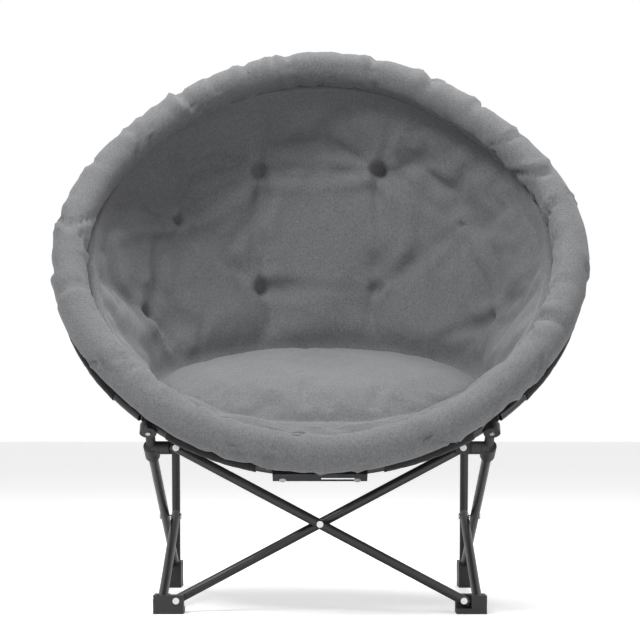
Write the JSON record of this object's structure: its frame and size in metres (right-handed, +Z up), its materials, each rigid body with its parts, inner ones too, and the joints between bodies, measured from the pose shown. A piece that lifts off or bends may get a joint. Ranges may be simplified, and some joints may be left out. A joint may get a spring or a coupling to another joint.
{
  "type": "folding saucer chair",
  "caption": "Folding round saucer chair: padded grey bowl seat on a tilted hinged tube ring, carried by a crossed black steel tube base.",
  "frame": {"origin": "on the floor under the middle of the chair's box", "axes": "+X to the right seen from the front, +Y to the back, +Z up"},
  "size_m": [0.9258, 0.6269, 1.0343],
  "materials": {
    "grey_fabric": "mid grey melange woven cover over soft padding",
    "black_fabric": "plain black woven sling cloth",
    "black_tube": "satin black powder coated steel tube",
    "black_plastic": "fine grained black moulded plastic",
    "bright_steel": "bright plated rivets and pins"
  },
  "bodies": {
    "left_side": {"side_rail_left": "black_tube", "rear_leg_left": "black_tube", "rear_foot_left": "black_plastic", "corner_joint_left": "black_plastic", "lug_pin_left": "bright_steel", "corner_pin_left": "bright_steel", "back_joint_left": "black_plastic", "back_pin_left": "bright_steel", "strut_rivet_left": "bright_steel", "sling": "black_fabric", "seat_pad": "grey_fabric", "rim_roll": "grey_fabric"},
    "right_side": {"side_rail_right": "black_tube", "rear_leg_right": "black_tube", "rear_foot_right": "black_plastic", "corner_joint_right": "black_plastic", "lug_pin_right": "bright_steel", "corner_pin_right": "bright_steel", "back_joint_right": "black_plastic", "back_pin_right": "bright_steel", "strut_rivet_right": "bright_steel"},
    "lug_left": {"cross_lug_left": "black_plastic", "lug_rivet_left": "bright_steel"},
    "lug_right": {"cross_lug_right": "black_plastic", "lug_rivet_right": "bright_steel"},
    "tube_a": {"cross_tube_front": "black_tube", "cross_rivet": "bright_steel", "cross_tube_front_plug_top": "black_plastic", "cross_tube_front_plug_low": "black_plastic"},
    "tube_b": {"cross_tube_rear": "black_tube", "cross_tube_rear_plug_top": "black_plastic", "cross_tube_rear_plug_low": "black_plastic"},
    "strut_left": {"front_strut_left": "black_tube", "strut_plug_low_left": "black_plastic", "strut_plug_top_left": "black_plastic"},
    "strut_right": {"front_strut_right": "black_tube", "strut_plug_low_right": "black_plastic", "strut_plug_top_right": "black_plastic"},
    "foot_left": {"front_foot_left": "black_plastic", "foot_rivet_left": "bright_steel", "strut_pin_left": "bright_steel"},
    "foot_right": {"front_foot_right": "black_plastic", "foot_rivet_right": "bright_steel", "strut_pin_right": "bright_steel"},
    "arc_front_left": {"ring_front_left": "black_tube"},
    "arc_front_right": {"ring_front_right": "black_tube", "front_rivet_right": "bright_steel"},
    "arc_back_left": {"ring_back_left": "black_tube"},
    "arc_back_right": {"ring_back_right": "black_tube", "top_rivet_right": "bright_steel"},
    "arc_side_left": {"ring_side_left": "black_tube"},
    "arc_side_right": {"ring_side_right": "black_tube"},
    "bracket_front": {"hinge_bracket_front": "black_tube", "front_rivet_left": "bright_steel"},
    "bracket_top": {"hinge_bracket_top": "black_tube", "top_rivet_left": "bright_steel"}
  },
  "joints": [
    {"name": "lug_left_fold", "type": "hinge", "parent": "left_side", "child": "lug_left", "pos_m": [-0.2814, -0.17286, 0.27552], "axis": [1, 0, 0], "range_deg": [0, 52.02]},
    {"name": "cross_front_turn", "type": "hinge", "parent": "lug_left", "child": "tube_a", "pos_m": [-0.2384, -0.17286, 0.27552], "axis": [0, 1, 0], "range_deg": [0, 52.02]},
    {"name": "cross_pivot", "type": "hinge", "parent": "tube_a", "child": "tube_b", "pos_m": [0, -0.17286, 0.14876], "axis": [0, -1, 0], "range_deg": [0, 104], "deforming": ["seat_pad", "sling", "rim_roll"]},
    {"name": "lug_right_turn", "type": "hinge", "parent": "tube_b", "child": "lug_right", "pos_m": [0.2384, -0.17286, 0.27552], "axis": [0, 1, 0], "range_deg": [0, 52.02]},
    {"name": "right_side_fold", "type": "hinge", "parent": "lug_right", "child": "right_side", "pos_m": [0.2814, -0.17286, 0.27552], "axis": [-1, 0, 0], "range_deg": [0, 52.02]},
    {"name": "strut_left_fold", "type": "hinge", "parent": "left_side", "child": "strut_left", "pos_m": [-0.2624, 0.06553, 0.14876], "axis": [1, 0, 0], "range_deg": [0, 104.02]},
    {"name": "strut_right_fold", "type": "hinge", "parent": "right_side", "child": "strut_right", "pos_m": [0.2624, 0.06553, 0.14876], "axis": [1, 0, 0], "range_deg": [0, 104.02]},
    {"name": "foot_left_turn", "type": "hinge", "parent": "strut_left", "child": "foot_left", "pos_m": [-0.2624, -0.17286, 0.022], "axis": [-1, 0, 0], "range_deg": [0, 52.02]},
    {"name": "foot_right_turn", "type": "hinge", "parent": "strut_right", "child": "foot_right", "pos_m": [0.2624, -0.17286, 0.022], "axis": [-1, 0, 0], "range_deg": [0, 52.02]},
    {"name": "front_arc_left_fold", "type": "hinge", "parent": "left_side", "child": "arc_front_left", "pos_m": [-0.2814, -0.20837, 0.31779], "axis": [0, -0.5592, -0.829], "range_deg": [0, 82.26]},
    {"name": "back_arc_left_fold", "type": "hinge", "parent": "left_side", "child": "arc_back_left", "pos_m": [-0.2814, 0.19151, 0.91063], "axis": [0, -0.5592, -0.829], "range_deg": [0, 82.26]},
    {"name": "front_arc_right_fold", "type": "hinge", "parent": "right_side", "child": "arc_front_right", "pos_m": [0.2814, -0.20837, 0.31779], "axis": [0, 0.5592, 0.829], "range_deg": [0, 82.26]},
    {"name": "back_arc_right_fold", "type": "hinge", "parent": "right_side", "child": "arc_back_right", "pos_m": [0.2814, 0.19151, 0.91063], "axis": [0, 0.5592, 0.829], "range_deg": [0, 82.26]},
    {"name": "front_bracket_turn", "type": "hinge", "parent": "arc_front_left", "child": "bracket_front", "pos_m": [-0.06, -0.26064, 0.24029], "axis": [0, 0.5592, 0.829], "range_deg": [0, 82.26]},
    {"name": "top_bracket_turn", "type": "hinge", "parent": "arc_back_left", "child": "bracket_top", "pos_m": [-0.06, 0.24378, 0.98813], "axis": [0, 0.5592, 0.829], "range_deg": [0, 82.26]},
    {"name": "side_arc_left_fold", "type": "hinge", "parent": "left_side", "child": "arc_side_left", "pos_m": [-0.2814, -0.00843, 0.61421], "axis": [0, 0.5592, 0.829], "range_deg": [0, 95.02]},
    {"name": "side_arc_right_fold", "type": "hinge", "parent": "right_side", "child": "arc_side_right", "pos_m": [0.2814, -0.00843, 0.61421], "axis": [0, -0.5592, -0.829], "range_deg": [0, 95.02]}
  ],
  "couplings": [
    {"joint": "lug_left_fold", "follows": "cross_pivot", "ratio": 0.5},
    {"joint": "cross_front_turn", "follows": "cross_pivot", "ratio": 0.5},
    {"joint": "lug_right_turn", "follows": "cross_pivot", "ratio": 0.5},
    {"joint": "right_side_fold", "follows": "cross_pivot", "ratio": 0.5},
    {"joint": "strut_left_fold", "follows": "cross_pivot", "ratio": 1},
    {"joint": "strut_right_fold", "follows": "cross_pivot", "ratio": 1},
    {"joint": "foot_left_turn", "follows": "cross_pivot", "ratio": 0.5},
    {"joint": "foot_right_turn", "follows": "cross_pivot", "ratio": 0.5},
    {"joint": "front_arc_left_fold", "follows": "cross_pivot", "ratio": 0.79077},
    {"joint": "back_arc_left_fold", "follows": "cross_pivot", "ratio": 0.79077},
    {"joint": "front_arc_right_fold", "follows": "cross_pivot", "ratio": 0.79077},
    {"joint": "back_arc_right_fold", "follows": "cross_pivot", "ratio": 0.79077},
    {"joint": "front_bracket_turn", "follows": "cross_pivot", "ratio": 0.79077},
    {"joint": "top_bracket_turn", "follows": "cross_pivot", "ratio": 0.79077},
    {"joint": "side_arc_left_fold", "follows": "cross_pivot", "ratio": 0.91346},
    {"joint": "side_arc_right_fold", "follows": "cross_pivot", "ratio": 0.91346}
  ]
}
